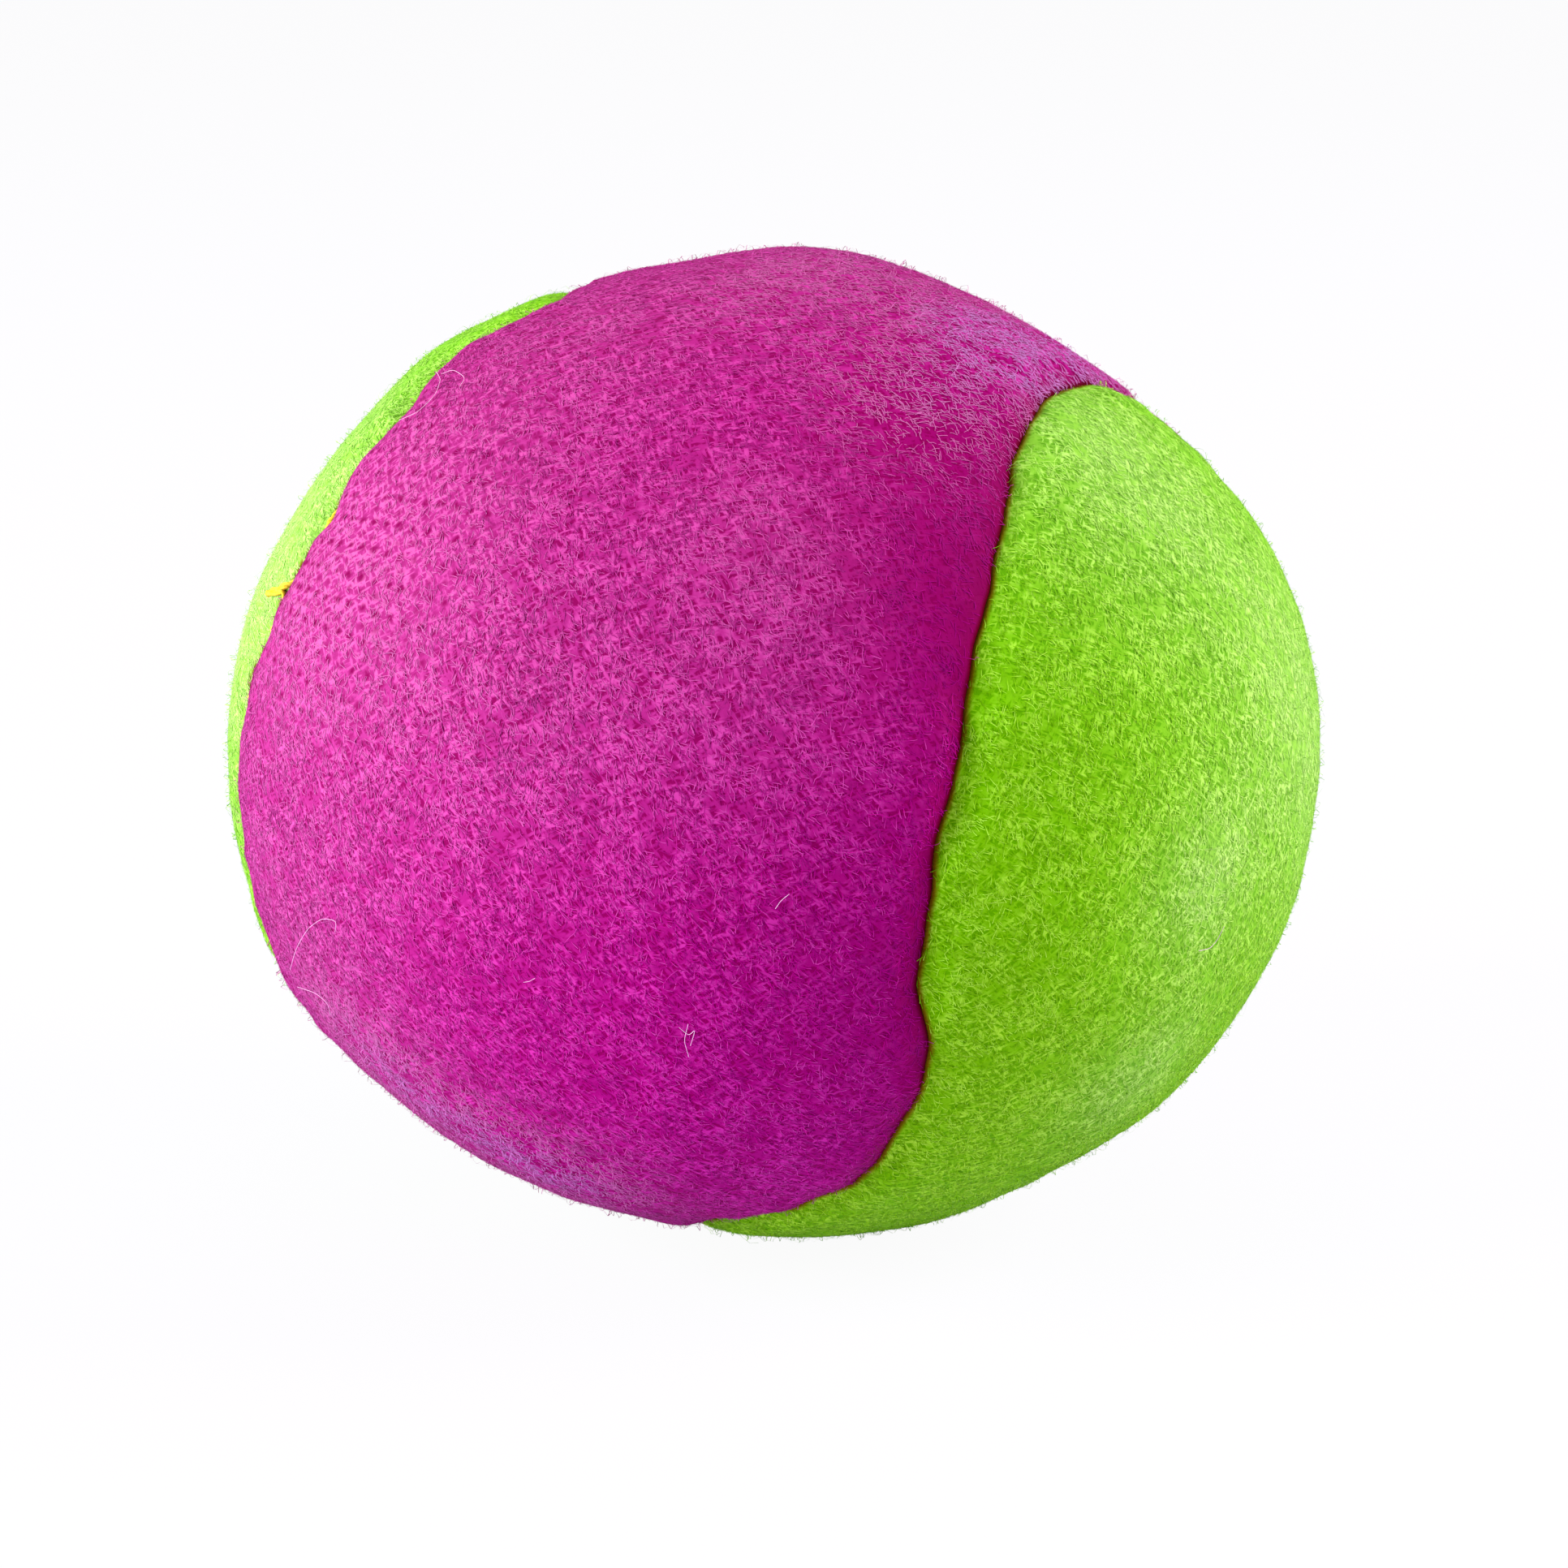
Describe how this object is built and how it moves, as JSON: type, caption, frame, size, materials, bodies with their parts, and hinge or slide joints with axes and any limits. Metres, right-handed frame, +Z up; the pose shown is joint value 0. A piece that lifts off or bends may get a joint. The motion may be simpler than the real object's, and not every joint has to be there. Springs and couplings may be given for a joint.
{
  "type": "soft throw ball",
  "caption": "Soft stuffed throw ball of interlocking magenta and lime brushed loop-pile panels that stick to hook-faced mitts, sewn along one closed seam.",
  "frame": {"origin": "middle of the ball's footprint, on the surface that the ball rests on", "axes": "+Z up, away from the resting patch; -Y towards the viewer, who sees a magenta lobe with a green lobe to its right"},
  "size_m": [0.0664, 0.0664, 0.059],
  "materials": {
    "magenta_fabric": "brushed loop-pile knit, fuzzy and matt",
    "green_fabric": "brushed loop-pile knit, fuzzy and matt",
    "white_fibre": "loose polyester stuffing fibre",
    "seam_thread": "spun sewing thread",
    "yellow_thread": "twisted hand-sewing thread"
  },
  "bodies": {
    "root": {"magenta_panel": "magenta_fabric", "green_panel": "green_fabric", "fibre_filling": "white_fibre", "seam_needle_thread": "seam_thread", "seam_bobbin_thread": "seam_thread", "closing_thread": "yellow_thread"}
  },
  "joints": []
}
